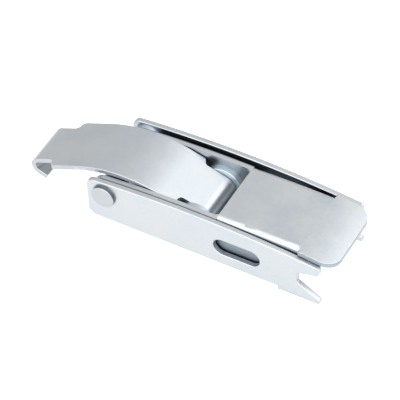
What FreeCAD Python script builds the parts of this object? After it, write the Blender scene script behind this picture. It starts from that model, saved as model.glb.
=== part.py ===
import FreeCAD, Part
import math
import os

# Over-centre toggle latch of pressed, zinc-plated steel, drawn shut. Millimetres and degrees.
# X runs along the latch from the pivot axis towards the grip, Y runs across it, Z is up.
# The origin lies on the underside of the body, on its centre plane, below the lever's pivot.

# Body: a channel of bent sheet, open at the top
body_width = 40.0
body_sheet = 2.5
body_left = -8.0
body_right = 97.6
body_bend_inside = 0.6
body_foot_margin = 0.5
web_short_of_fork = 8.6
crown_x = 40.0
crown_z = 24.2
crown_radius = 465.0
body_edge_round = 0.5
body_corner_top = 3.6
body_corner_bottom = 2.6

# Long hole through both side plates
slot_short_of_end = 37.1
slot_z = 11.6
slot_length = 20.8
slot_height = 8.4

# Fork at the end of both side plates
fork_depth = 10.0
fork_low = 8.4
fork_high = 13.8
fork_lower_slope = 30.9
fork_upper_slope = 15.5
fork_corner = 0.7
prong_tip_round = 1.1
prong_nose_round = 2.3
upper_prong_short = 0.3

# Pivot rivet, which joins the lever to the body
pivot_z = 15.4
pivot_shank_radius = 4.75
pivot_tenon_radius = 4.0
pivot_head_radius = 5.25
pivot_head_height = 1.5
pivot_head_round = 0.45

# Lever: an inverted channel that lies inside the body, with a grip tab at its end
lever_sheet = 2.2
side_gap = 0.3
far_gap = 2.3
lobe_radius = 6.9
lobe_end_turn = 250.0
lever_top_below_body = 0.5
lever_bottom = 4.0
lever_knee_x = 17.8
lever_bend_outside = 2.6
lever_bend_inside = 0.6
window_right = 50.3
window_corner = 2.5
plate_crown_short_of_end = 29.6
plate_clear_of_body_end = 1.038
plate_radius = 520.0
flange_short_of_end = 10.6
flange_end_z = 16.5
flange_taper_short_of_end = 24.6
flange_lower_round = 6.0
tab_overhang = 5.4
tab_radius = 78.0
tab_shoulder = 1.05
tab_corner = 7.0
tab_overlap = 1.0
tab_edge_round = 0.35

# Link rivet, which joins the hook to the lever
link_x = 38.2
link_z = 11.7
link_radius = 4.0
link_head_radius = 6.0
link_head_recess = 0.1

# Hook: an arched strap with a rolled eye at one end and a claw at the other
hook_sheet = 2.2
claw_width = 20.2
arch_crown_x = 7.1
arch_crown_z = 24.9
arch_radius = 57.0
arch_claw_slope = 23.5
eye_wrap = 289.0
claw_left = -40.7
claw_bend_inside = 2.4
claw_lip_slope = 20.0
claw_lip_length = 3.9
claw_step_left = -31.1
claw_step_right = -26.9
eye_step_before_eye = 0.3
eye_step_length = 3.4
hook_edge_round = 0.3

# Washers
eye_washer_radius = 8.5
eye_washer_thickness = 2.8
eye_side_play = 2.0
pivot_washer_radius = 6.5
washer_edge_round = 0.3

# Clearances
running_clearance = 0.05
rivet_fit = 0.02
washer_clearance = 0.12
hook_side_gap = 0.3

# Worked-out sizes and places
body_inner_half = body_width / 2 - body_sheet
fork_back = body_right - fork_depth
web_right = fork_back - web_short_of_fork
slot_x = body_right - slot_short_of_end
lever_half = body_inner_half - (side_gap + far_gap) / 2
lever_y = (side_gap - far_gap) / 2
lever_inner_half = lever_half - lever_sheet
plate_crown_x = body_right - plate_crown_short_of_end
flange_right = body_right - flange_short_of_end
flange_taper_x = body_right - flange_taper_short_of_end
tab_right = body_right + tab_overhang
hook_half = lever_inner_half - hook_side_gap
eye_far_half = lever_inner_half - eye_washer_thickness - washer_clearance
eye_near_half = eye_far_half - eye_side_play
claw_half = claw_width / 2
eye_step_right = link_x - link_radius - running_clearance - hook_sheet - eye_step_before_eye
eye_step_left = eye_step_right - eye_step_length

# Reach of the blocks that cut or keep, and of a cut past the face it goes through
far = 200.0
past = 1.0


def vec(x, y, z):
    return FreeCAD.Vector(x, y, z)


def drop(radius, run):
    """How far an arc has fallen from its crown at a distance along."""
    return radius - math.sqrt(radius * radius - run * run)


def body_top(x):
    return crown_z - drop(crown_radius, x - crown_x)


def flange_top(x):
    return body_top(x) - lever_top_below_body


def plate_crown_z():
    """The plate's top where it is highest; its underside clears the body's top at the body's end."""
    fallen = drop(plate_radius, plate_crown_short_of_end)
    return body_top(body_right) + plate_clear_of_body_end + lever_sheet + fallen


def plate_top(x):
    return plate_crown_z() - drop(plate_radius, x - plate_crown_x)


def on_circle(centre, radius, angle):
    """A point in the XZ plane; the angle turns from +X towards +Z."""
    turn = math.radians(angle)
    return (centre[0] + radius * math.cos(turn), centre[1] + radius * math.sin(turn))


def line(a, b):
    return Part.makeLine(vec(a[0], 0, a[1]), vec(b[0], 0, b[1]))


def arc(a, b, c):
    return Part.Arc(vec(a[0], 0, a[1]), vec(b[0], 0, b[1]), vec(c[0], 0, c[1])).toShape()


def arc_about(centre, radius, start, end):
    return arc(
        on_circle(centre, radius, start),
        on_circle(centre, radius, (start + end) / 2),
        on_circle(centre, radius, end),
    )


def spread(edges, low, high):
    """A closed outline in the XZ plane, drawn out across Y from low to high."""
    face = Part.Face(Part.Wire(edges))
    face.translate(vec(0, low, 0))
    return face.extrude(vec(0, high - low, 0))


def block(x0, x1, y0, y1, z0, z1):
    return Part.makeBox(x1 - x0, y1 - y0, z1 - z0, vec(x0, y0, z0))


def cross_pin(x, z, radius, low, high):
    """A cylinder across Y."""
    return Part.makeCylinder(radius, high - low, vec(x, low, z), vec(0, 1, 0))


def across(edge):
    """True for a straight edge that runs across Y."""
    box = edge.BoundBox
    return box.XLength < 1e-4 and box.ZLength < 1e-4


def along(edge):
    """True for a straight edge that runs along X."""
    box = edge.BoundBox
    return box.YLength < 1e-4 and box.ZLength < 1e-4


def upright(edge):
    """True for a straight edge that runs along Z."""
    box = edge.BoundBox
    return box.XLength < 1e-4 and box.YLength < 1e-4


def lies_on_y(edge, values):
    box = edge.BoundBox
    return box.YLength < 1e-4 and any(abs(box.YMin - v) < 1e-3 for v in values)


def soften(solid, radius, wanted):
    """Rounds the edges that wanted(edge) picks."""
    return solid.makeFillet(radius, [e for e in solid.Edges if wanted(e)])


def round_corners(solid, corners):
    """Rounds the edges across Y that pass through each (x, z, radius)."""
    for x, z, radius in corners:
        solid = soften(
            solid,
            radius,
            lambda e: across(e) and math.hypot(e.BoundBox.XMin - x, e.BoundBox.ZMin - z) < 0.02,
        )
    return solid


def body_outline():
    """Side view of the body: arched top, flat bottom and a forked end."""
    tip_z = fork_low - fork_depth * math.tan(math.radians(fork_lower_slope))
    nose_x = body_right - upper_prong_short
    nose_z = fork_high + (nose_x - fork_back) * math.tan(math.radians(fork_upper_slope))
    left_bottom = (body_left, 0.0)
    right_bottom = (body_right, 0.0)
    tip = (body_right, tip_z)
    throat_low = (fork_back, fork_low)
    throat_high = (fork_back, fork_high)
    nose_low = (nose_x, nose_z)
    nose_high = (nose_x, body_top(nose_x))
    left_top = (body_left, body_top(body_left))
    edges = [
        line(left_bottom, right_bottom),
        line(right_bottom, tip),
        line(tip, throat_low),
        line(throat_low, throat_high),
        line(throat_high, nose_low),
        line(nose_low, nose_high),
        arc(nose_high, (crown_x, crown_z), left_top),
        line(left_top, left_bottom),
    ]
    corners = [
        (*left_bottom, body_corner_bottom),
        (*right_bottom, prong_tip_round),
        (*tip, prong_tip_round),
        (*throat_low, fork_corner),
        (*throat_high, fork_corner),
        (*nose_low, prong_nose_round),
        (*nose_high, prong_tip_round),
        (*left_top, body_corner_top),
    ]
    return edges, corners


def long_hole(low, high):
    radius = slot_height / 2
    half = slot_length / 2 - radius
    middle = block(slot_x - half, slot_x + half, low, high, slot_z - radius, slot_z + radius)
    ends = [cross_pin(slot_x + side * half, slot_z, radius, low, high) for side in (-1, 1)]
    return middle.fuse(ends).removeSplitter()


def on_free_rim(edge):
    """The rim away from the bent foot and the rivet hole."""
    box = edge.BoundBox
    hole = math.hypot(box.Center.x, box.Center.z - pivot_z) < pivot_tenon_radius
    return not hole and box.ZMax > body_foot_margin


def make_side_plate(side):
    low, high = sorted((side * body_inner_half, side * body_width / 2))
    edges, corners = body_outline()
    plate = round_corners(spread(edges, low, high), corners)
    plate = plate.cut(long_hole(low, high))
    plate = plate.cut(cross_pin(0, pivot_z, pivot_tenon_radius, low, high))
    return soften(plate, body_edge_round, lambda e: lies_on_y(e, (low, high)) and on_free_rim(e))


def make_foot(height):
    """The flat web and its two bends, cut to the body's rounded lower corner."""
    half = body_width / 2
    foot = block(body_left, web_right, -half, half, 0, height)
    foot = soften(
        foot,
        body_bend_inside + body_sheet,
        lambda e: along(e) and e.BoundBox.ZMax < body_sheet,
    )
    foot = round_corners(foot, [(body_left, 0.0, body_corner_bottom)])
    room = block(-far, far, -body_inner_half, body_inner_half, body_sheet, far)
    room = soften(room, body_bend_inside, lambda e: along(e) and e.BoundBox.ZMax < far / 2)
    return foot.cut(room)


def make_body():
    height = body_bend_inside + body_sheet + body_foot_margin
    taken = block(-far, web_right, -far, far, -far, height)
    plates = [make_side_plate(side).cut(taken) for side in (-1, 1)]
    return make_foot(height).fuse(plates).removeSplitter()


def circles_meet(a, radius_a, b, radius_b):
    """The left one of the two points where two circles cross."""
    span = math.hypot(b[0] - a[0], b[1] - a[1])
    along_span = (radius_a**2 - radius_b**2 + span**2) / (2 * span)
    off_span = math.sqrt(radius_a**2 - along_span**2)
    step = ((b[0] - a[0]) / span, (b[1] - a[1]) / span)
    points = [
        (
            a[0] + along_span * step[0] - sign * off_span * step[1],
            a[1] + along_span * step[1] + sign * off_span * step[0],
        )
        for sign in (-1, 1)
    ]
    return min(points)


def lever_outline():
    """Side view of the lever's flanges and of its raised top plate."""
    pivot = (0.0, pivot_z)
    arc_centre = (crown_x, crown_z - lever_top_below_body - crown_radius)
    lobe_top = circles_meet(pivot, lobe_radius, arc_centre, crown_radius)
    lobe_turn = math.degrees(math.atan2(lobe_top[1] - pivot_z, lobe_top[0]))
    lobe_end = on_circle(pivot, lobe_radius, lobe_end_turn)
    knee = (lever_knee_x, lever_bottom)
    taper = (flange_taper_x, lever_bottom)
    outer = (flange_right, flange_end_z)
    top_end = (flange_right, plate_top(flange_right))
    step_low = (window_right, flange_top(window_right))
    step_high = (window_right, plate_top(window_right))
    middle = (window_right / 2, flange_top(window_right / 2))
    edges = [
        arc_about(pivot, lobe_radius, lobe_end_turn, lobe_turn),
        arc(lobe_top, middle, step_low),
        line(step_low, step_high),
        arc(step_high, (plate_crown_x, plate_crown_z()), top_end),
        line(top_end, outer),
        line(outer, taper),
        line(taper, knee),
        line(knee, lobe_end),
    ]
    return edges, [(*taper, flange_lower_round), (*knee, flange_lower_round)]


def arched_block(start_x, half, depth, bend):
    """A block under the plate's arch, with its two upper long edges rounded."""
    end_x = flange_right + past
    crown = (plate_crown_x, plate_crown_z() - depth)
    start = (start_x, plate_top(start_x) - depth)
    end = (end_x, plate_top(end_x) - depth)
    edges = [
        arc(start, crown, end),
        line(end, (end_x, -far)),
        line((end_x, -far), (start_x, -far)),
        line((start_x, -far), start),
    ]
    solid = spread(edges, lever_y - half, lever_y + half)
    return soften(
        solid,
        bend,
        lambda e: lies_on_y(e, (lever_y - half, lever_y + half)) and e.BoundBox.ZMin > 0,
    )


def lever_window():
    """The opening in the lever's top, to the left of the top plate."""
    low, high = lever_y - lever_inner_half, lever_y + lever_inner_half
    window = block(-far, window_right, low, high, -past, far)
    return soften(window, window_corner, lambda e: upright(e) and e.BoundBox.XMin > 0)


def make_lever():
    low, high = lever_y - lever_half, lever_y + lever_half
    edges, corners = lever_outline()
    shell = round_corners(spread(edges, low, high), corners)
    bent = arched_block(window_right, lever_half, 0.0, lever_bend_outside)
    flat = block(-far, window_right, low, high, 0, far)
    shell = shell.common(bent.fuse(flat))
    shell = shell.cut(arched_block(-2 * lobe_radius, lever_inner_half, lever_sheet, lever_bend_inside))
    shell = shell.cut(lever_window())
    shell = shell.fuse(make_tab()).removeSplitter()
    hole = cross_pin(0, pivot_z, pivot_shank_radius + running_clearance, low - past, high + past)
    return shell.cut([hole] + [link_hole(side) for side in (-1, 1)])


def make_tab():
    """The grip: the top plate carried on past the flanges, wider, and curled down."""
    start_x = flange_right - tab_overlap
    slope = math.degrees(math.asin((start_x - plate_crown_x) / plate_radius))
    start = (start_x, plate_top(start_x))
    centre = on_circle(start, -tab_radius, 90 - slope)
    turn = math.degrees(math.acos((tab_right + past - centre[0]) / tab_radius))
    under = tab_radius - lever_sheet
    half = lever_half + tab_shoulder
    slab = spread(
        [
            arc_about(centre, tab_radius, 90 - slope, turn),
            line(on_circle(centre, tab_radius, turn), on_circle(centre, under, turn)),
            arc_about(centre, under, turn, 90 - slope),
            line(on_circle(centre, under, 90 - slope), start),
        ],
        lever_y - half,
        lever_y + half,
    )
    inner = lever_half - lever_bend_outside
    neck = block(start_x, flange_right, lever_y - inner, lever_y + inner, 0, far)
    plan = block(flange_right, tab_right, lever_y - half, lever_y + half, 0, far)
    plan = soften(plan, tab_corner, lambda e: upright(e) and e.BoundBox.XMin > flange_right)
    grip = slab.common(plan)
    grip = soften(grip, tab_edge_round, lambda e: e.BoundBox.XMax > flange_right + past)
    return grip.fuse(slab.common(neck))


def link_head(side, extra):
    """The countersunk head of the link rivet; extra carries the cone on outwards."""
    face = lever_y + side * lever_half
    depth = link_head_radius - link_radius
    return Part.makeCone(
        link_radius,
        link_head_radius + extra,
        depth + extra,
        vec(link_x, face - side * depth, link_z),
        vec(0, side, 0),
    )


def link_hole(side):
    """A countersunk hole through one flange."""
    outer = lever_y + side * (lever_half + past)
    inner = lever_y + side * (lever_inner_half - past)
    low, high = sorted((outer, inner))
    return cross_pin(link_x, link_z, link_radius, low, high).fuse(link_head(side, past))


def make_link_rivet():
    low = lever_y - lever_half + link_head_recess
    high = lever_y + lever_half - link_head_recess
    shank = cross_pin(link_x, link_z, link_radius, low, high)
    rivet = shank.fuse([link_head(side, past) for side in (-1, 1)])
    return rivet.common(block(-far, far, low, high, -far, far)).removeSplitter()


def make_pivot_rivet():
    half = body_width / 2
    shoulder = body_inner_half - running_clearance
    rivet = cross_pin(0, pivot_z, pivot_shank_radius, -shoulder, shoulder)
    pieces = [cross_pin(0, pivot_z, pivot_tenon_radius - rivet_fit, -half, half)]
    for side in (-1, 1):
        outer = side * (half + pivot_head_height)
        low, high = sorted((side * half, outer))
        head = cross_pin(0, pivot_z, pivot_head_radius, low, high)
        pieces.append(soften(head, pivot_head_round, lambda e: lies_on_y(e, (outer,))))
    return rivet.fuse(pieces).removeSplitter()


def strap_slope():
    """The slope of the straight run that touches both the arch and the eye from above."""
    run = link_x - arch_crown_x
    rise = link_z - (arch_crown_z - arch_radius)
    eye_radius = link_radius + running_clearance + hook_sheet
    between = math.acos((arch_radius - eye_radius) / math.hypot(run, rise))
    return math.degrees(math.atan2(run, rise) - between)


def eye_outline():
    """Side view of the rolled eye, from the strap's top round to its underside."""
    eye = (link_x, link_z)
    inner = link_radius + running_clearance
    outer = inner + hook_sheet
    lead = 90 - strap_slope()
    end = lead - eye_wrap
    edges = [
        arc_about(eye, outer, lead, end),
        line(on_circle(eye, outer, end), on_circle(eye, inner, end)),
        arc_about(eye, inner, end, lead),
    ]
    return edges, on_circle(eye, outer, lead), on_circle(eye, inner, lead)


def claw_outline(top_start, low_start):
    """Side view of the claw's bend and lip, beside the two ends of the arch."""
    bend_outside = claw_bend_inside + hook_sheet
    slope = math.radians(arch_claw_slope)
    centre_x = claw_left + bend_outside
    top_x = centre_x - bend_outside * math.sin(slope)
    top_z = top_start[1] - (top_start[0] - top_x) * math.tan(slope)
    centre = (centre_x, top_z - bend_outside * math.cos(slope))
    start = 90 + arch_claw_slope
    end = 270 - claw_lip_slope
    lip_out = on_circle(on_circle(centre, bend_outside, end), claw_lip_length, -claw_lip_slope)
    lip_in = on_circle(on_circle(centre, claw_bend_inside, end), claw_lip_length, -claw_lip_slope)
    return [
        line(low_start, on_circle(centre, claw_bend_inside, start)),
        arc_about(centre, claw_bend_inside, start, end),
        line(on_circle(centre, claw_bend_inside, end), lip_in),
        line(lip_in, lip_out),
        line(lip_out, on_circle(centre, bend_outside, end)),
        arc_about(centre, bend_outside, end, start),
        line(on_circle(centre, bend_outside, start), top_start),
    ]


def make_hook():
    arch = (arch_crown_x, arch_crown_z - arch_radius)
    under = arch_radius - hook_sheet
    start = 90 + arch_claw_slope
    end = 90 - strap_slope()
    eye_edges, lead_top, lead_low = eye_outline()
    claw_edges = claw_outline(on_circle(arch, arch_radius, start), on_circle(arch, under, start))
    edges = [
        arc_about(arch, arch_radius, start, end),
        line(on_circle(arch, arch_radius, end), lead_top),
        *eye_edges,
        line(lead_low, on_circle(arch, under, end)),
        arc_about(arch, under, end, start),
        *claw_edges,
    ]
    strap = spread(edges, lever_y - hook_half, lever_y + hook_half)
    strap = strap.common(hook_plan())
    return soften(strap, hook_edge_round, on_strap_side)


def on_strap_side(edge):
    """The long edges down the strap's two sides, with the ends of the sheet left sharp."""
    box = edge.BoundBox
    return box.YLength < hook_half and not upright(edge) and box.DiagonalLength > hook_sheet * 1.1


def strap_edge(eye_half):
    """How far one side of the strap stands from its middle, along X."""
    return [
        (-far, claw_half),
        (claw_step_left, claw_half),
        (claw_step_right, hook_half),
        (eye_step_left, hook_half),
        (eye_step_right, eye_half),
        (far, eye_half),
    ]


def hook_plan():
    """The strap's blank seen from above: wide in the middle, narrower at claw and eye."""
    upper = s_curve_edges(strap_edge(eye_far_half), 1)
    lower = s_curve_edges(list(reversed(strap_edge(eye_near_half))), -1)
    left = Part.makeLine(vec(-far, lever_y - claw_half, 0), vec(-far, lever_y + claw_half, 0))
    right = Part.makeLine(vec(far, lever_y + eye_far_half, 0), vec(far, lever_y - eye_near_half, 0))
    return Part.Face(Part.Wire([left] + upper + [right] + lower)).extrude(vec(0, 0, far))


def s_curve_edges(rows, side):
    """Straight runs joined by two equal arcs wherever the width changes."""
    edges = []
    for (xa, wa), (xb, wb) in zip(rows, rows[1:]):
        a = vec(xa, lever_y + side * wa, 0)
        b = vec(xb, lever_y + side * wb, 0)
        if wa == wb:
            edges.append(Part.makeLine(a, b))
            continue
        middle = (a + b) * 0.5
        forward = 1 if xb > xa else -1
        edges += [tangent_arc(a, middle, forward), tangent_arc(b, middle, -forward)]
    return Part.__sortEdges__(edges)


def tangent_arc(start, end, forward):
    """An arc that leaves start along X and ends at end."""
    dx, dy = end.x - start.x, end.y - start.y
    radius = (dx * dx + dy * dy) / (2 * abs(dy))
    up = 1 if dy > 0 else -1
    turn = math.asin(abs(dx) / radius) / 2
    middle = vec(
        start.x + forward * radius * math.sin(turn),
        start.y + up * radius * (1 - math.cos(turn)),
        start.z,
    )
    return Part.Arc(start, middle, end).toShape()


def make_eye_washer(side, eye_half):
    """A washer on the link rivet beside the eye; the far one also rests on the lever's flange."""
    face = lever_y + side * (eye_half + washer_clearance)
    low, high = sorted((face, face + side * eye_washer_thickness))
    washer = cross_pin(link_x, link_z, eye_washer_radius, low, high)
    washer = soften(washer, washer_edge_round, lambda e: lies_on_y(e, (face,)))
    return washer.cut(cross_pin(link_x, link_z, link_radius, low - past, high + past))


def make_pivot_washer():
    low = lever_y + lever_half + washer_clearance
    high = body_inner_half - running_clearance
    washer = cross_pin(0, pivot_z, pivot_washer_radius, low, high)
    hole = cross_pin(0, pivot_z, pivot_shank_radius + running_clearance, low - past, high + past)
    return washer.cut(hole)


def save(name, shape):
    if not shape.isValid() or len(shape.Solids) != 1:
        raise RuntimeError(name + " is not one sound solid")
    shape.exportStep(os.path.join("parts", name + ".step"))
    box = shape.BoundBox
    size = [round(v, 2) for v in (box.XMin, box.XMax, box.YMin, box.YMax, box.ZMin, box.ZMax)]
    print(name, round(shape.Volume, 1), "mm3", size)


os.makedirs("parts", exist_ok=True)
save("body_channel", make_body())
save("pivot_rivet", make_pivot_rivet())
save("pivot_washer", make_pivot_washer())
save("lever_handle", make_lever())
save("link_rivet", make_link_rivet())
save("eye_washer_near", make_eye_washer(-1, eye_near_half))
save("eye_washer_far", make_eye_washer(1, eye_far_half))
save("hook_strap", make_hook())
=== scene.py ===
import bpy
import math
from mathutils import Matrix, Vector


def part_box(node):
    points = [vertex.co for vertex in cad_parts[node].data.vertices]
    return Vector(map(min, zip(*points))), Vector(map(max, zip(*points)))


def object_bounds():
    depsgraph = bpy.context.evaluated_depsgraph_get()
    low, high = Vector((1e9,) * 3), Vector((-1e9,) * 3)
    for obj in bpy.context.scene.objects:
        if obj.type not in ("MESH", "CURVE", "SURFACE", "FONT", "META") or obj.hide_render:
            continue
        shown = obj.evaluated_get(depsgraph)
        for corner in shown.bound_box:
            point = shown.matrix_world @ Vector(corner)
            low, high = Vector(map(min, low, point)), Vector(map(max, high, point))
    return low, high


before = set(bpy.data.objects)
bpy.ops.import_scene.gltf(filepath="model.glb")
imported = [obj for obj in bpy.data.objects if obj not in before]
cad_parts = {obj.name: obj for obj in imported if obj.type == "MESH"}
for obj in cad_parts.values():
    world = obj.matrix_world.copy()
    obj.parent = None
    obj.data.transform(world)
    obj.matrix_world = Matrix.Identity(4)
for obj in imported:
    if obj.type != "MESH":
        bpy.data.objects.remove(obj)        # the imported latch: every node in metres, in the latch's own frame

cadBox = [list(corner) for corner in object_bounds()]
scene = bpy.context.scene
mm = 0.001
print("frame loaded:", ", ".join(sorted(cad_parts)))


# camera

camera = {
    "place": (0.38653, -0.58775, 0.74958),   # metres
    "azimuth": 31.0208,                      # degrees, turned from the front towards the grip
    "elevation": 47.1599,
    "roll": -2.7657,
    "lens": 224.37,                          # mm, on the sensor below
    "sensor": 36.0,
}


def makeCamera():
    azimuth, elevation, roll = (math.radians(camera[k]) for k in ("azimuth", "elevation", "roll"))
    back = Vector((math.sin(azimuth) * math.cos(elevation), -math.cos(azimuth) * math.cos(elevation),
                   math.sin(elevation)))
    level = Vector((math.cos(azimuth), math.sin(azimuth), 0))
    upright = back.cross(level)
    right = level * math.cos(roll) + upright * math.sin(roll)
    up = upright * math.cos(roll) - level * math.sin(roll)
    data = bpy.data.cameras.new("viewCamera")
    data.lens = camera["lens"]
    data.sensor_width = camera["sensor"]
    data.clip_end = 20
    obj = bpy.data.objects.new("viewCamera", data)
    scene.collection.objects.link(obj)
    turn = Matrix((right, up, back)).transposed()
    obj.matrix_world = Matrix.Translation(camera["place"]) @ turn.to_4x4()
    scene.camera = obj


makeCamera()
print("camera placed")


# small helpers for node trees

def feed(tree, value, socket):
    # joins an output to a socket, or sets the socket to a plain value
    if isinstance(value, bpy.types.NodeSocket):
        tree.links.new(value, socket)
    else:
        socket.default_value = value


def addNode(tree, kind, settings=(), **sockets):
    node = tree.nodes.new(kind)
    node.location = (190 * (len(tree.nodes) % 12), -260 * (len(tree.nodes) // 12))
    for name, value in dict(settings).items():
        setattr(node, name, value)
    for name, value in sockets.items():
        feed(tree, value, node.inputs[name.replace("_", " ")])
    return node


def doMath(tree, operation, a, b=0.0, clamp=False):
    node = addNode(tree, "ShaderNodeMath", {"operation": operation, "use_clamp": clamp})
    feed(tree, a, node.inputs[0])
    feed(tree, b, node.inputs[1])
    return node.outputs[0]


def doVector(tree, operation, a, b=(0.0, 0.0, 0.0)):
    node = addNode(tree, "ShaderNodeVectorMath", {"operation": operation})
    feed(tree, a, node.inputs[0])
    feed(tree, b, node.inputs[1])
    return node.outputs["Value" if operation in ("DOT_PRODUCT", "LENGTH") else "Vector"]


def reMap(tree, value, fromMin, fromMax, toMin=0.0, toMax=1.0, smooth=True):
    kind = "SMOOTHSTEP" if smooth else "LINEAR"
    return addNode(tree, "ShaderNodeMapRange", {"interpolation_type": kind}, Value=value, From_Min=fromMin,
                   From_Max=fromMax, To_Min=toMin, To_Max=toMax).outputs["Result"]


def mixColour(tree, factor, a, b):
    node = addNode(tree, "ShaderNodeMix", {"data_type": "RGBA"})
    feed(tree, factor, node.inputs["Factor"])
    feed(tree, a, node.inputs[6])
    feed(tree, b, node.inputs[7])
    return node.outputs[2]


def stretched(tree, vector, scale, turn=(0.0, 0.0, 0.0)):
    return addNode(tree, "ShaderNodeMapping", Vector=vector, Scale=scale, Rotation=turn).outputs["Vector"]


def noise(tree, vector, scale, detail=3.0, roughness=0.5):
    return addNode(tree, "ShaderNodeTexNoise", Vector=vector, Scale=scale, Detail=detail,
                   Roughness=roughness).outputs["Fac"]


def makeGroup(name, inputs, outputs):
    tree = bpy.data.node_groups.new(name, "ShaderNodeTree")
    for label, value in inputs.items():
        kind = "NodeSocketVector" if value is None else "NodeSocketFloat"
        socket = tree.interface.new_socket(label, in_out="INPUT", socket_type=kind)
        if value is not None:
            socket.default_value = value
    for label in outputs:
        tree.interface.new_socket(label, in_out="OUTPUT", socket_type="NodeSocketFloat")
    return tree, tree.nodes.new("NodeGroupInput").outputs, tree.nodes.new("NodeGroupOutput").inputs


def useGroup(tree, group, **sockets):
    node = addNode(tree, "ShaderNodeGroup", {"node_tree": group}, **sockets)
    return node.outputs


# effects that several finishes share

def makePlating():
    # zinc plating: small crystals of differing brightness, cloudy patches and a fine grain
    tree, given, out = makeGroup("zincPlating", {"Vector": None, "Crystals": 900.0, "Clouds": 60.0},
                                 ["Tone", "Height"])
    cells = addNode(tree, "ShaderNodeTexVoronoi", Vector=given["Vector"], Scale=given["Crystals"])
    cellTone = doVector(tree, "DOT_PRODUCT", cells.outputs["Color"], (0.34, 0.33, 0.33))
    clouds = noise(tree, given["Vector"], given["Clouds"], 4.0, 0.55)
    grain = noise(tree, given["Vector"], doMath(tree, "MULTIPLY", given["Crystals"], 2.6), 4.0, 0.65)
    patchy = doMath(tree, "ADD", doMath(tree, "MULTIPLY", clouds, 0.55),
                    doMath(tree, "MULTIPLY", cellTone, 0.2))
    feed(tree, doMath(tree, "ADD", patchy, doMath(tree, "MULTIPLY", grain, 0.25)), out["Tone"])
    bumps = doMath(tree, "MULTIPLY", cells.outputs["Distance"], 0.35)
    feed(tree, doMath(tree, "ADD", doMath(tree, "MULTIPLY", grain, 0.65), bumps), out["Height"])
    return tree


def makeEdgeWear():
    # where the surface turns sharply the plating is rubbed; noise breaks the line up
    tree, given, out = makeGroup("rubbedEdges", {"Vector": None, "Radius": 0.0004, "Breakup": 500.0},
                                 ["Mask"])
    bevel = addNode(tree, "ShaderNodeBevel", {"samples": 6}, Radius=given["Radius"])
    face = addNode(tree, "ShaderNodeNewGeometry")
    agreement = doVector(tree, "DOT_PRODUCT", bevel.outputs[0], face.outputs["Normal"])
    turn = doMath(tree, "SUBTRACT", 1.0, agreement)
    edge = reMap(tree, turn, 0.01, 0.22)
    broken = reMap(tree, noise(tree, given["Vector"], given["Breakup"], 3.0, 0.6), 0.3, 0.6, 0.35, 1.0)
    feed(tree, doMath(tree, "MULTIPLY", edge, broken, clamp=True), out["Mask"])
    return tree


def makeMarks():
    # handling marks: thin broken scratches in two directions, from noise stretched along each
    tree, given, out = makeGroup("handlingMarks", {"Vector": None, "Fineness": 1400.0, "Share": 0.5},
                                 ["Mask", "Height"])
    lines = []
    for turn in ((0.1, 0.2, 0.35), (-0.2, 0.1, -0.6)):
        along = stretched(tree, given["Vector"], (0.03, 1.0, 1.0), turn)
        wave = noise(tree, along, given["Fineness"], 1.0, 0.4)
        off = doMath(tree, "ABSOLUTE", doMath(tree, "SUBTRACT", wave, 0.5))
        lines.append(reMap(tree, off, 0.012, 0.0))
    patches = reMap(tree, noise(tree, given["Vector"], 90.0, 2.0, 0.5), given["Share"], 0.75)
    mask = doMath(tree, "MULTIPLY", doMath(tree, "MAXIMUM", lines[0], lines[1]), patches, clamp=True)
    feed(tree, mask, out["Mask"])
    feed(tree, doMath(tree, "MULTIPLY", mask, -1.0), out["Height"])
    return tree


def makeTurned():
    # rings left by turning or punching, about the Y axis through the vector's origin
    tree, given, out = makeGroup("turnedRings", {"Vector": None, "Rings": 4000.0}, ["Tone", "Height"])
    flat = doVector(tree, "MULTIPLY", given["Vector"], (1.0, 0.0, 1.0))
    radius = doVector(tree, "LENGTH", flat)
    rings = addNode(tree, "ShaderNodeTexNoise", {"noise_dimensions": "1D"}, W=radius, Scale=given["Rings"],
                    Detail=3.0, Roughness=0.6).outputs["Fac"]
    feed(tree, rings, out["Tone"])
    feed(tree, rings, out["Height"])
    return tree


def makeCutEdge():
    # a blanked edge: a smooth sheared band on the punch side, then a torn and duller one
    tree, given, out = makeGroup("blankedEdge", {"Vector": None, "Mask": 1.0, "Depth": 0.0},
                                 ["Torn", "Height"])
    ragged = noise(tree, given["Vector"], 900.0, 3.0, 0.6)
    border = doMath(tree, "ADD", given["Depth"], doMath(tree, "MULTIPLY", ragged, 0.25))
    torn = doMath(tree, "MULTIPLY", reMap(tree, border, 0.45, 0.6), given["Mask"])
    crumbs = noise(tree, given["Vector"], 5200.0, 4.0, 0.7)
    feed(tree, torn, out["Torn"])
    feed(tree, doMath(tree, "MULTIPLY", crumbs, torn), out["Height"])
    return tree


def makeCreviceShade():
    # painted shade: deep places, where little light reaches, are painted toward a dark blue-grey
    tree, given, out = makeGroup("paintedCreviceShade", {"Vector": None, "Reach": 0.006}, ["Mask"])
    around = addNode(tree, "ShaderNodeAmbientOcclusion", {"samples": 8}, Distance=given["Reach"])
    blotches = noise(tree, given["Vector"], 240.0, 3.0)
    uneven = doMath(tree, "MULTIPLY", doMath(tree, "SUBTRACT", blotches, 0.5), 0.2)
    openness = doMath(tree, "ADD", around.outputs["AO"], uneven)
    feed(tree, reMap(tree, openness, 0.62, 0.2), out["Mask"])
    return tree


groups = {
    "creviceShade": makeCreviceShade(), "plating": makePlating(), "wear": makeEdgeWear(),
    "marks": makeMarks(), "turned": makeTurned(), "cut": makeCutEdge(),
}
print("shared effects ready:", len(groups))


# finishes

def startMaterial(name):
    material = bpy.data.materials.new(name)
    material.use_nodes = True
    tree = material.node_tree
    coords = addNode(tree, "ShaderNodeTexCoord")
    return material, tree, tree.nodes["Principled BSDF"], coords.outputs


def absolute(tree, value):
    return doMath(tree, "ABSOLUTE", value)


def both(tree, *masks):
    result = masks[0]
    for mask in masks[1:]:
        result = doMath(tree, "MULTIPLY", result, mask)
    return result


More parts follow.
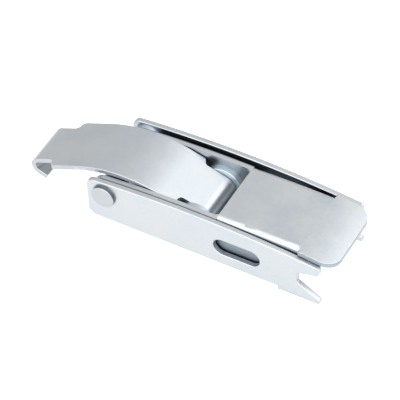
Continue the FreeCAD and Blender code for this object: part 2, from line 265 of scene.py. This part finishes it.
def sideSheetCut(tree, coords, middle, inner, outer, topCutEnd):
    # the cut edges of two upright flanges: how far through the sheet, and where an edge was cut.
    # topCutEnd is the x past which the flange's top is a bend, not a cut edge
    place = addNode(tree, "ShaderNodeSeparateXYZ", Vector=coords["Object"]).outputs
    facing = addNode(tree, "ShaderNodeSeparateXYZ", Vector=coords["Normal"]).outputs
    side = absolute(tree, doMath(tree, "SUBTRACT", place["Y"], middle))
    depth = reMap(tree, side, outer, inner, smooth=False)
    onEdge = reMap(tree, absolute(tree, facing["Y"]), 0.6, 0.3)
    inFlange = doMath(tree, "GREATER_THAN", side, inner)
    open_ = doMath(tree, "LESS_THAN", place["X"], topCutEnd)
    low = doMath(tree, "LESS_THAN", facing["Z"], 0.1)
    return both(tree, onEdge, inFlange, doMath(tree, "MAXIMUM", open_, low)), depth


def acrossCut(tree, coords):
    # the cut edges of a strap that is bent along X: the faces that look along Y
    facing = addNode(tree, "ShaderNodeSeparateXYZ", Vector=coords["Normal"]).outputs
    ragged = noise(tree, stretched(tree, coords["Object"], (1.0, 0.2, 1.0)), 300.0, 2.0, 0.5)
    return reMap(tree, absolute(tree, facing["Y"]), 0.8, 0.97), ragged


def gripRimShade(tree, coords, start):
    # painted shade: the rolled-over corner all round the grip, past x = start, is painted dark; its cut end
    # half as much
    facing = addNode(tree, "ShaderNodeSeparateXYZ", Vector=coords["Normal"]).outputs
    place = addNode(tree, "ShaderNodeSeparateXYZ", Vector=coords["Object"]).outputs
    tilt = absolute(tree, facing["Z"])
    corner = both(tree, reMap(tree, tilt, 0.93, 0.7), reMap(tree, tilt, 0.0, 0.3, 0.5, 1.0))
    return both(tree, doMath(tree, "GREATER_THAN", place["X"], start), corner)


def flangeFace(tree, coords, middle, outer, end):
    # where painted shade goes: the outer faces of two flanges, which slide beside the body's plates, as far as
    # x = end
    place = addNode(tree, "ShaderNodeSeparateXYZ", Vector=coords["Object"]).outputs
    side = absolute(tree, doMath(tree, "SUBTRACT", place["Y"], middle))
    face = reMap(tree, side, outer - 0.5 * mm, outer - 0.05 * mm)
    return both(tree, face, doMath(tree, "LESS_THAN", place["X"], end))


def platedSheet(name, look, cut, dull=None, rim=None):
    material, tree, shader, coords = startMaterial(name)
    plating = useGroup(tree, groups["plating"], Vector=coords["Object"], Crystals=look["crystals"],
                       Clouds=look["clouds"])
    marks = useGroup(tree, groups["marks"], Vector=coords["Object"], Fineness=look["scratchFineness"],
                     Share=look["scratchShare"])
    wear = useGroup(tree, groups["wear"], Vector=coords["Object"], Radius=look["wearRadius"])["Mask"]
    mask, depth = cut(tree, coords)
    edge = useGroup(tree, groups["cut"], Vector=coords["Object"], Mask=mask, Depth=depth)
    tone = reMap(tree, plating["Tone"], 0.38, 0.62)
    colour = mixColour(tree, tone, look["cool"], look["warm"])
    # painted shade: deep places are darkened toward the dark blue-grey
    creviceShade = useGroup(tree, groups["creviceShade"], Vector=coords["Object"], Reach=look["creviceReach"])["Mask"]
    colour = mixColour(tree, doMath(tree, "MULTIPLY", creviceShade, look["creviceShade"]), colour, look["film"])
    # painted shade on the outer faces of the lever's flanges
    if dull:
        share = doMath(tree, "MULTIPLY", dull(tree, coords), look["dull"])
        colour = mixColour(tree, share, colour, look["film"])
    colour = mixColour(tree, doMath(tree, "MULTIPLY", edge["Torn"], look["tornDark"]), colour, look["torn"])
    colour = mixColour(tree, doMath(tree, "MULTIPLY", wear, look["wear"]), colour, look["rubbed"])
    # painted shade on the grip's rolled-over corner
    if rim:
        share = doMath(tree, "MULTIPLY", rim(tree, coords), look["rimShadeShare"])
        colour = mixColour(tree, share, colour, look["film"])
    feed(tree, colour, shader.inputs["Base Color"])
    roughness = reMap(tree, plating["Tone"], 0.35, 0.65, look["roughness"] - look["roughnessSpread"],
                      look["roughness"] + look["roughnessSpread"])
    roughness = doMath(tree, "ADD", roughness, doMath(tree, "MULTIPLY", edge["Torn"], 0.16))
    roughness = doMath(tree, "ADD", roughness, doMath(tree, "MULTIPLY", marks["Mask"], -0.07))
    feed(tree, doMath(tree, "SUBTRACT", roughness, doMath(tree, "MULTIPLY", wear, 0.08)),
         shader.inputs["Roughness"])
    shader.inputs["Metallic"].default_value = look["metallic"]
    height = doMath(tree, "ADD", doMath(tree, "MULTIPLY", plating["Height"], look["grainHeight"]),
                    doMath(tree, "MULTIPLY", marks["Height"], look["scratchHeight"]))
    height = doMath(tree, "ADD", height, doMath(tree, "MULTIPLY", edge["Height"], look["tornHeight"]))
    bump = addNode(tree, "ShaderNodeBump", Height=height, Distance=1.0, Strength=1.0)
    feed(tree, bump.outputs["Normal"], shader.inputs["Normal"])
    return material


def turnedSteel(name, look):
    material, tree, shader, coords = startMaterial(name)
    centred = addNode(tree, "ShaderNodeVectorMath", {"operation": "SUBTRACT"})
    feed(tree, coords["Object"], centred.inputs[0])
    feed(tree, look["axis"], centred.inputs[1])
    rings = useGroup(tree, groups["turned"], Vector=centred.outputs[0], Rings=look["rings"])
    plating = useGroup(tree, groups["plating"], Vector=coords["Object"], Crystals=look["crystals"],
                       Clouds=look["clouds"])
    wear = useGroup(tree, groups["wear"], Vector=coords["Object"], Radius=look["wearRadius"])["Mask"]
    tone = doMath(tree, "ADD", doMath(tree, "MULTIPLY", rings["Tone"], look["ringShare"]),
                  doMath(tree, "MULTIPLY", plating["Tone"], 1 - look["ringShare"]))
    colour = mixColour(tree, reMap(tree, tone, 0.36, 0.64), look["cool"], look["warm"])
    facing = addNode(tree, "ShaderNodeSeparateXYZ", Vector=coords["Normal"]).outputs
    # painted shade: faces that don't look along Y, the side walls, are painted darker
    rim = reMap(tree, absolute(tree, facing["Y"]), 0.45, 0.15)
    colour = mixColour(tree, rim, colour, look["rim"])
    # painted shade: deep places are darkened toward the dark blue-grey
    creviceShade = useGroup(tree, groups["creviceShade"], Vector=coords["Object"], Reach=look["creviceReach"])["Mask"]
    colour = mixColour(tree, doMath(tree, "MULTIPLY", creviceShade, look["creviceShade"]), colour, look["film"])
    colour = mixColour(tree, doMath(tree, "MULTIPLY", wear, look["wear"]), colour, look["rubbed"])
    feed(tree, colour, shader.inputs["Base Color"])
    feed(tree, reMap(tree, tone, 0.35, 0.65, look["roughness"] - look["roughnessSpread"],
                     look["roughness"] + look["roughnessSpread"]), shader.inputs["Roughness"])
    shader.inputs["Metallic"].default_value = look["metallic"]
    height = doMath(tree, "ADD", doMath(tree, "MULTIPLY", plating["Height"], look["grainHeight"]),
                    doMath(tree, "MULTIPLY", rings["Height"], look["ringHeight"]))
    bump = addNode(tree, "ShaderNodeBump", Height=height, Distance=1.0, Strength=1.0)
    feed(tree, bump.outputs["Normal"], shader.inputs["Normal"])
    return material


def dress(nodeName, material):
    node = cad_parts[nodeName]
    node.data.materials.clear()
    node.data.materials.append(material)


bodyLook = {
    "cool": (0.44, 0.475, 0.508, 1), "warm": (0.478, 0.497, 0.51, 1), "rubbed": (0.24, 0.25, 0.26, 1),
    "torn": (0.34, 0.36, 0.385, 1), "tornDark": 0.45, "wear": 0.55, "wearRadius": 0.4 * mm,
    # painted shade colour and share for deep places; the same colour paints shade on the lever's flange faces
    # and grip corner
    "film": (0.13, 0.17, 0.21, 1), "creviceShade": 0.85, "creviceReach": 6 * mm,
    "metallic": 1.0, "roughness": 0.33, "roughnessSpread": 0.05, "crystals": 1000.0, "clouds": 55.0,
    "scratchFineness": 1300.0, "scratchShare": 0.55, "grainHeight": 0.004 * mm, "scratchHeight": 0.003 * mm,
    "tornHeight": 0.03 * mm,
    "sheet": 2.5 * mm,
}
# the lever's painted shade: a share on its flange faces and a share on its grip corner
leverLook = dict(bodyLook, roughness=0.34, clouds=70.0, sheet=2.2 * mm, dull=0.75, rimShadeShare=0.85,
                 gripStart=87.3 * mm, windowEnd=50.3 * mm)
hookLook = dict(bodyLook, roughness=0.35, clouds=62.0)


def bodyCut(tree, coords):
    low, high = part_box("body_channel")
    outer = (high.y - low.y) / 2
    everywhere = 1.0                           # metres, past the body's end: its top is cut all along
    return sideSheetCut(tree, coords, (high.y + low.y) / 2, outer - bodyLook["sheet"], outer, everywhere)


def leverFlanges():
    low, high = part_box("link_rivet")           # it reaches from face to face of the lever's flanges
    return (high.y + low.y) / 2, (high.y - low.y) / 2


def leverCut(tree, coords):
    middle, outer = leverFlanges()
    inner = outer - leverLook["sheet"]
    return sideSheetCut(tree, coords, middle, inner, outer, leverLook["windowEnd"])


def leverFlangeShade(tree, coords):
    # painted shade on the outer faces of the lever's flanges
    return flangeFace(tree, coords, *leverFlanges(), leverLook["gripStart"])


def leverRimShade(tree, coords):
    # painted shade on the grip's rolled-over corner
    return gripRimShade(tree, coords, leverLook["gripStart"])


dress("body_channel", platedSheet("bodyZinc", bodyLook, bodyCut))
dress("lever_handle", platedSheet("leverZinc", leverLook, leverCut, leverFlangeShade, leverRimShade))
dress("hook_strap", platedSheet("hookZinc", hookLook, acrossCut))
print("sheet parts dressed")

rivetLook = {
    "cool": (0.375, 0.40, 0.425, 1), "warm": (0.42, 0.435, 0.445, 1), "rubbed": (0.55, 0.56, 0.57, 1),
    # the two dark colours on the next line are painted shade: on side walls, and in deep places
    "rim": (0.14, 0.155, 0.17, 1), "film": (0.13, 0.17, 0.21, 1), "creviceShade": 0.8, "creviceReach": 5 * mm,
    "wear": 0.6, "wearRadius": 0.35 * mm, "metallic": 1.0, "roughness": 0.36, "roughnessSpread": 0.06,
    "crystals": 1100.0, "clouds": 120.0, "rings": 3600.0, "ringShare": 0.35,
    "grainHeight": 0.004 * mm, "ringHeight": 0.004 * mm,
}


def axisOf(nodeName):
    low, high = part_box(nodeName)
    return ((low.x + high.x) / 2, 0.0, (low.z + high.z) / 2)


# washers: their side-wall colour below is a lighter painted shade
washerLook = dict(rivetLook, cool=(0.50, 0.60, 0.68, 1), warm=(0.62, 0.70, 0.76, 1),
                  rim=(0.34, 0.40, 0.45, 1), creviceShade=0.35, metallic=0.7, ringShare=0.7, rings=2600.0,
                  ringHeight=0.012 * mm, roughness=0.42)
for name, look in (("pivot_rivet", rivetLook), ("link_rivet", rivetLook), ("pivot_washer", washerLook),
                   ("eye_washer_near", washerLook), ("eye_washer_far", washerLook)):
    words = name.split("_")
    materialName = words[0] + "".join(word.capitalize() for word in words[1:]) + "Steel"
    dress(name, turnedSteel(materialName, dict(look, axis=axisOf(name))))
print("rivets and washers dressed")


# studio

studio = {
    "floorHalf": 3.0,            # metres
    "floorBelow": 0.03 * mm,     # under the lowest point of the latch
    "floorColour": (0.22, 0.22, 0.22, 1),
    "floorMottle": (0.2, 0.2, 0.2, 1),
    "floorGlow": 1.3,
    "skyStrength": 2.5,
    # brightness of the sky from behind the hook, at 0, to in front of the grip, at 1
    "brightSide": (0.8, -0.6, 0.0),
    "sky": ((0.0, 0.40), (0.19, 0.385), (0.215, 0.43), (0.27, 0.47), (0.33, 0.56), (0.36, 0.80), (0.4, 0.96),
            (0.5, 0.98), (1.0, 1.0)),
    "horizon": {"from": -0.05, "to": 0.35, "share": 0.45},   # the sky is dimmer close to the horizon
    "seenSky": (0.95, 0.95, 0.95, 1),
}


def makeFloor():
    half = studio["floorHalf"]
    height = cadBox[0][2] - studio["floorBelow"]
    corners = [(-half, -half, height), (half, -half, height), (half, half, height), (-half, half, height)]
    mesh = bpy.data.meshes.new("floor")
    mesh.from_pydata(corners, [], [(0, 1, 2, 3)])
    floor = bpy.data.objects.new("floor", mesh)
    scene.collection.objects.link(floor)
    material, tree, shader, coords = startMaterial("paleFloor")
    mottle = noise(tree, coords["Object"], 300.0, 2.0)
    floorTone = mixColour(tree, mottle, studio["floorColour"], studio["floorMottle"])
    feed(tree, floorTone, shader.inputs["Base Color"])
    shader.inputs["Roughness"].default_value = 0.9
    shader.inputs["Specular IOR Level"].default_value = 0.0
    shader.inputs["Emission Color"].default_value = (1, 1, 1, 1)
    shader.inputs["Emission Strength"].default_value = studio["floorGlow"]
    mesh.materials.append(material)


def makeSky():
    world = bpy.data.worlds.new("softStudio")
    scene.world = world
    world.use_nodes = True
    tree = world.node_tree
    direction = addNode(tree, "ShaderNodeTexCoord").outputs["Generated"]
    along = doVector(tree, "DOT_PRODUCT", direction, studio["brightSide"])
    ramp = addNode(tree, "ShaderNodeValToRGB", Fac=reMap(tree, along, -1.0, 1.0, smooth=False))
    stops = ramp.color_ramp.elements
    while len(stops) < len(studio["sky"]):
        stops.new(0.5)
    for stop, (place, level) in zip(stops, studio["sky"]):
        stop.position = place
        stop.color = (level, level, level, 1)
    up = addNode(tree, "ShaderNodeSeparateXYZ", Vector=direction).outputs["Z"]
    horizon = studio["horizon"]
    dim = reMap(tree, up, horizon["from"], horizon["to"], horizon["share"] * studio["skyStrength"],
                studio["skyStrength"])
    ray = addNode(tree, "ShaderNodeLightPath").outputs["Is Camera Ray"]
    bright = addNode(tree, "ShaderNodeVectorMath", {"operation": "SCALE"}, Vector=ramp.outputs["Color"],
                     Scale=dim).outputs["Vector"]
    seen = mixColour(tree, ray, bright, studio["seenSky"])
    feed(tree, seen, tree.nodes["Background"].inputs["Color"])


makeFloor()
makeSky()
scene.view_settings.view_transform = "Standard"
print("studio lit")
